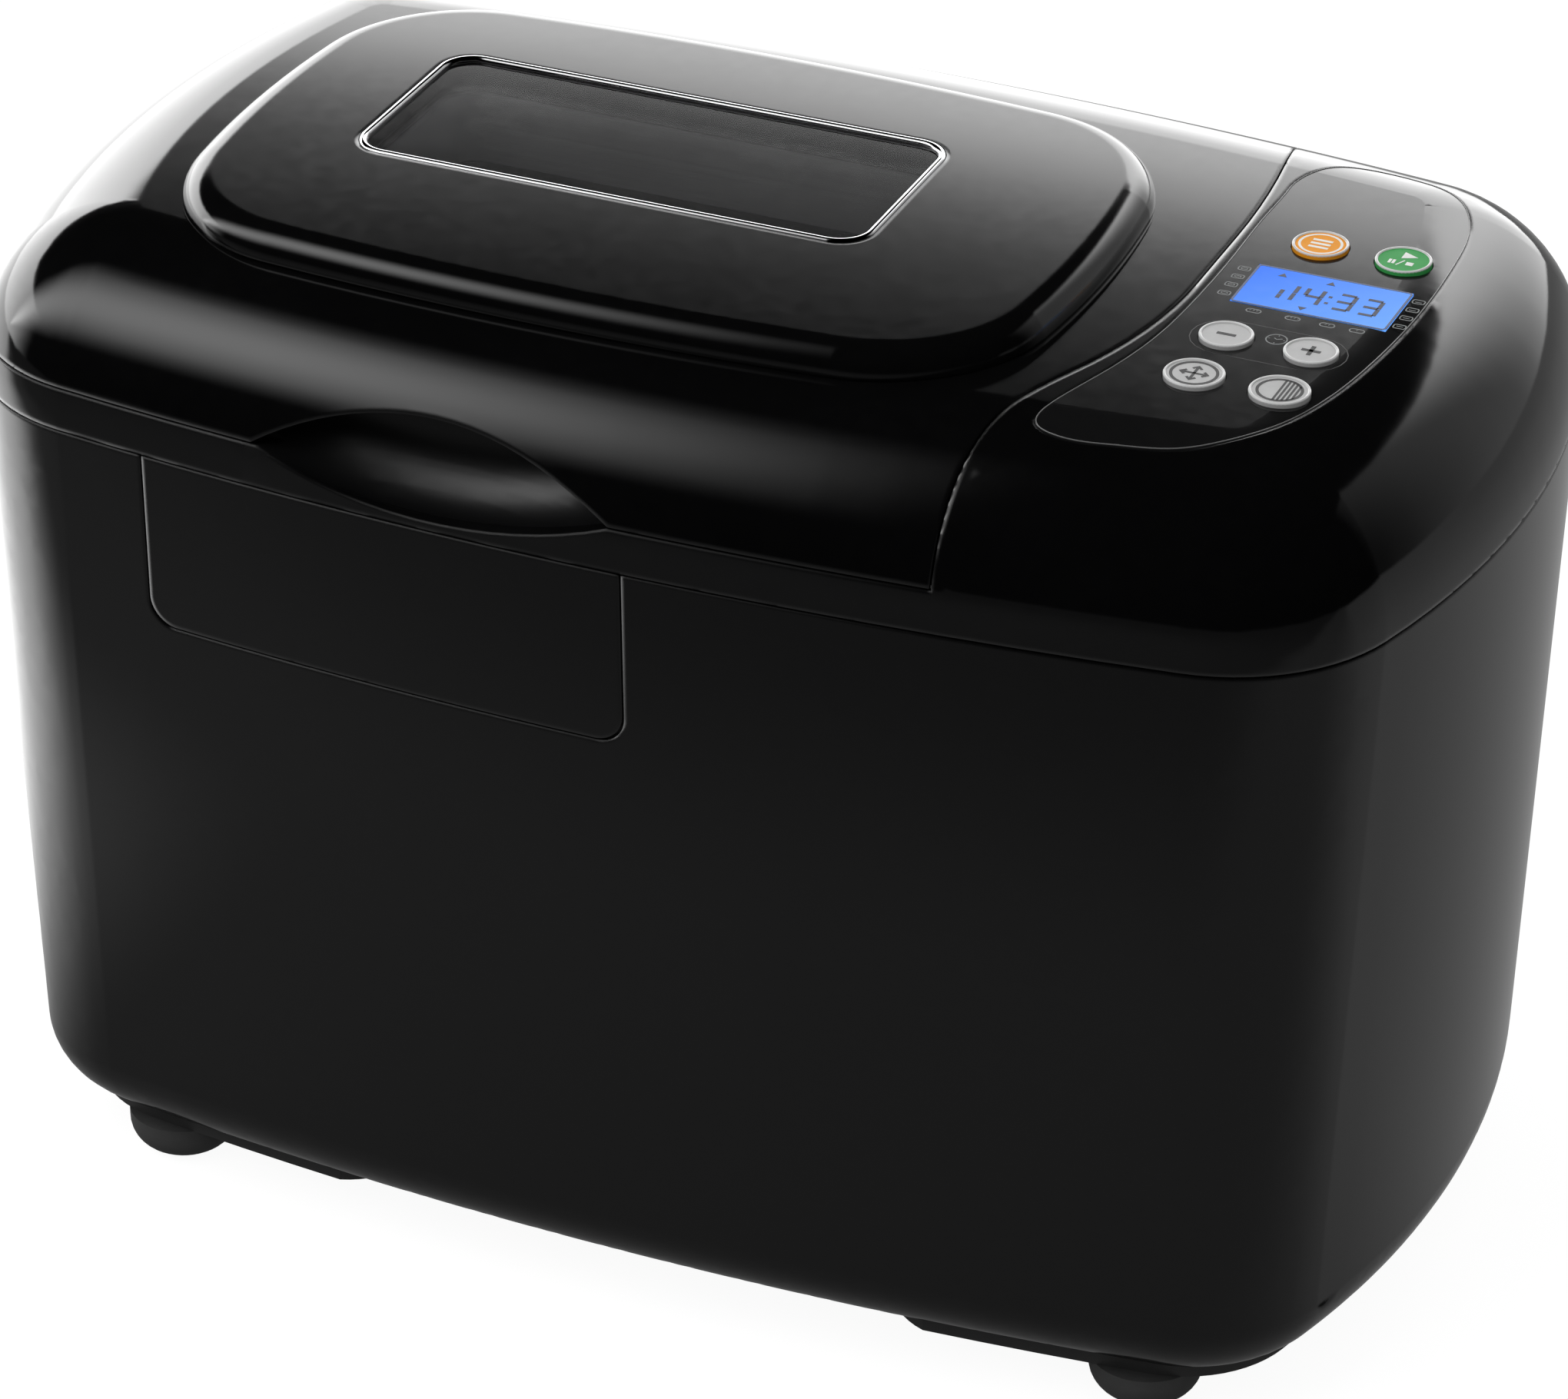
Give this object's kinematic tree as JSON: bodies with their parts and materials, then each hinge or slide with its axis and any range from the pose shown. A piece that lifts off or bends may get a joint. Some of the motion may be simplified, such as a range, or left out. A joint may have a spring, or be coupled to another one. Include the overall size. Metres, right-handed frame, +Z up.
{
  "type": "bread machine",
  "caption": "Household bread machine with a bowed black housing, hinged windowed lid, key console, lift-out pan and belt-driven kneading paddles.",
  "frame": {"origin": "middle of the machine's plan, on the surface that its feet stand on", "axes": "+Z up, -Y towards the user at the front, +X towards the control console on the user's right"},
  "size_m": [0.42, 0.2545, 0.2916],
  "materials": {
    "black_gloss": "high-gloss moulded black",
    "base_black": "fine-grained moulded black",
    "film_black": "smooth printed film",
    "display_blue": "clear cover over a blue lit display",
    "display_frame": "moulded frame",
    "circuit_green": "solder mask",
    "switch_dark": "moulded",
    "key_orange": "smooth moulded orange",
    "key_green": "smooth moulded green",
    "key_grey": "satin silver-grey",
    "bright_trim": "polished",
    "smoked_glass": "smoked clear",
    "liner_metal": "satin sheet",
    "pan_coat": "dark non-stick coat",
    "wire_bright": "bright wire",
    "shaft_steel": "turned",
    "bush_brass": "turned",
    "coupling_cast": "cast",
    "element_sheath": "heat-darkened tube",
    "chassis_zinc": "zinc-plated sheet",
    "pulley_plastic": "natural moulded",
    "belt_rubber": "matt black",
    "foot_rubber": "matt dark grey"
  },
  "bodies": {
    "housing": {"lower_housing": "black_gloss", "upper_collar": "black_gloss", "front_inset_panel": "black_gloss", "base_plate": "base_black", "rubber_feet": "foot_rubber", "base_screws": "shaft_steel", "control_overlay": "film_black", "lcd_lens": "display_blue", "lcd_module": "display_frame", "control_board": "circuit_green", "tact_switches": "switch_dark", "baking_chamber": "liner_metal", "heating_element": "element_sheath", "element_clips": "liner_metal", "temperature_sensor": "bush_brass", "drive_chassis": "chassis_zinc", "motor_body": "chassis_zinc", "belt_motor": "belt_rubber", "belt_paddles": "belt_rubber", "power_board": "circuit_green", "cord_gland": "belt_rubber", "hinge_pins": "shaft_steel"},
    "lid": {"lid_outer_shell": "black_gloss", "lid_top_plate": "black_gloss", "window_trim": "bright_trim", "window_glass": "smoked_glass", "lid_inner_liner": "liner_metal", "inner_window": "smoked_glass", "liner_screws": "shaft_steel"},
    "pan": {"bread_pan": "pan_coat", "pan_bushes": "bush_brass"},
    "bail": {"pan_handle": "wire_bright"},
    "paddle_left_turn": {"paddle_left": "pan_coat", "pan_shaft_left": "shaft_steel"},
    "paddle_right_turn": {"paddle_right": "pan_coat", "pan_shaft_right": "shaft_steel"},
    "drive_left": {"drive_shaft_left": "shaft_steel", "drive_pulley_left": "pulley_plastic", "drive_coupling_left": "coupling_cast"},
    "drive_right": {"drive_shaft_right": "shaft_steel", "drive_pulley_right": "pulley_plastic", "drive_coupling_right": "coupling_cast"},
    "motor_rotor": {"motor_shaft": "shaft_steel", "motor_pulley_small": "pulley_plastic"},
    "key_menu": {"button_menu": "key_orange"},
    "key_start": {"button_start": "key_green"},
    "key_minus": {"button_minus": "key_grey"},
    "key_plus": {"button_plus": "key_grey"},
    "key_size": {"button_size": "key_grey"},
    "key_colour": {"button_colour": "key_grey"}
  },
  "joints": [
    {"name": "lid_hinge", "type": "hinge", "parent": "housing", "child": "lid", "pos_m": [0, 0.1255, 0.253], "axis": [-1, 0, 0], "range_deg": [0, 95]},
    {"name": "pan_lift", "type": "slide", "parent": "housing", "child": "pan", "axis": [0, 0, 1], "range_m": [0, 0.01]},
    {"name": "bail_hinge", "type": "hinge", "parent": "pan", "child": "bail", "pos_m": [-0.046, 0, 0.211], "axis": [-1, 0, 0], "range_deg": [0, 25]},
    {"name": "drive_right_spin", "type": "hinge", "parent": "housing", "child": "drive_right", "pos_m": [0.012, 0, 0.06], "axis": [0, 0, 1], "continuous": true},
    {"name": "drive_left_spin", "type": "hinge", "parent": "housing", "child": "drive_left", "pos_m": [-0.104, 0, 0.06], "axis": [0, 0, 1], "continuous": true},
    {"name": "paddle_left_spin", "type": "hinge", "parent": "pan", "child": "paddle_left_turn", "pos_m": [-0.104, 0, 0.06], "axis": [0, 0, 1], "continuous": true},
    {"name": "paddle_right_spin", "type": "hinge", "parent": "pan", "child": "paddle_right_turn", "pos_m": [0.012, 0, 0.06], "axis": [0, 0, 1], "continuous": true},
    {"name": "motor_spin", "type": "hinge", "parent": "housing", "child": "motor_rotor", "pos_m": [0.148, 0, 0.06], "axis": [0, 0, 1], "continuous": true},
    {"name": "menu_press", "type": "slide", "parent": "housing", "child": "key_menu", "axis": [0, 0, -1], "range_m": [0, 0.0008], "stiffness_N_per_m": 400},
    {"name": "start_press", "type": "slide", "parent": "housing", "child": "key_start", "axis": [0, 0, -1], "range_m": [0, 0.0008], "stiffness_N_per_m": 400},
    {"name": "minus_press", "type": "slide", "parent": "housing", "child": "key_minus", "axis": [0, 0, -1], "range_m": [0, 0.0008], "stiffness_N_per_m": 400},
    {"name": "plus_press", "type": "slide", "parent": "housing", "child": "key_plus", "axis": [0, 0, -1], "range_m": [0, 0.0008], "stiffness_N_per_m": 400},
    {"name": "size_press", "type": "slide", "parent": "housing", "child": "key_size", "axis": [0, 0, -1], "range_m": [0, 0.0008], "stiffness_N_per_m": 400},
    {"name": "colour_press", "type": "slide", "parent": "housing", "child": "key_colour", "axis": [0, 0, -1], "range_m": [0, 0.0008], "stiffness_N_per_m": 400}
  ],
  "couplings": [
    {"joint": "drive_left_spin", "follows": "drive_right_spin", "ratio": 1},
    {"joint": "paddle_left_spin", "follows": "drive_right_spin", "ratio": 1},
    {"joint": "paddle_right_spin", "follows": "drive_right_spin", "ratio": 1},
    {"joint": "motor_spin", "follows": "drive_right_spin", "ratio": 4.5}
  ]
}
